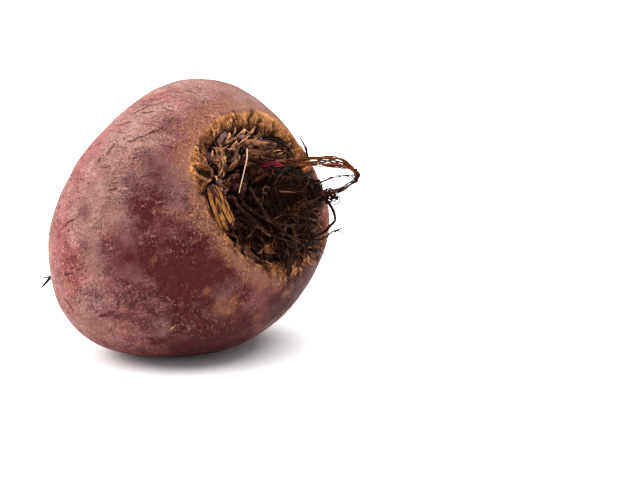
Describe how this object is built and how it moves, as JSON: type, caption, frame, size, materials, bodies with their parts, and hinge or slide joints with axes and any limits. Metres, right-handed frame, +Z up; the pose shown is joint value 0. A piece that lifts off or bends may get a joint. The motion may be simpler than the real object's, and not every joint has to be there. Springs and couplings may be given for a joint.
{
  "type": "beetroot",
  "caption": "Whole beetroot lying on its side, with a corky collar round the crown, torn leaf-stalk bases, a tangle of dry leaf fibres and a thin hooked tail.",
  "frame": {"origin": "centre of the small flat spot that the root rests on", "axes": "+Z up, the crown with its stalk bases looks along -Y and about 20 degrees up, the tail lies at +Y, +X to the right when the crown is looked at"},
  "size_m": [0.0941, 0.1147, 0.0805],
  "materials": {
    "root_skin": "matt, thin corky skin in dusty purple-red, with fine cracks, specks and a tan corky collar",
    "dry_stalk": "torn dry stalk bases, tan at the torn edges and dark purple-brown inside",
    "dark_fibre": "matted black-brown leaf fibres",
    "brown_fibre": "red-brown leaf fibres with a slight gloss"
  },
  "bodies": {
    "root": {"root": "root_skin", "stalk_stubs": "dry_stalk", "fibre_tangle": "dark_fibre", "fibre_loop": "brown_fibre"}
  },
  "joints": []
}
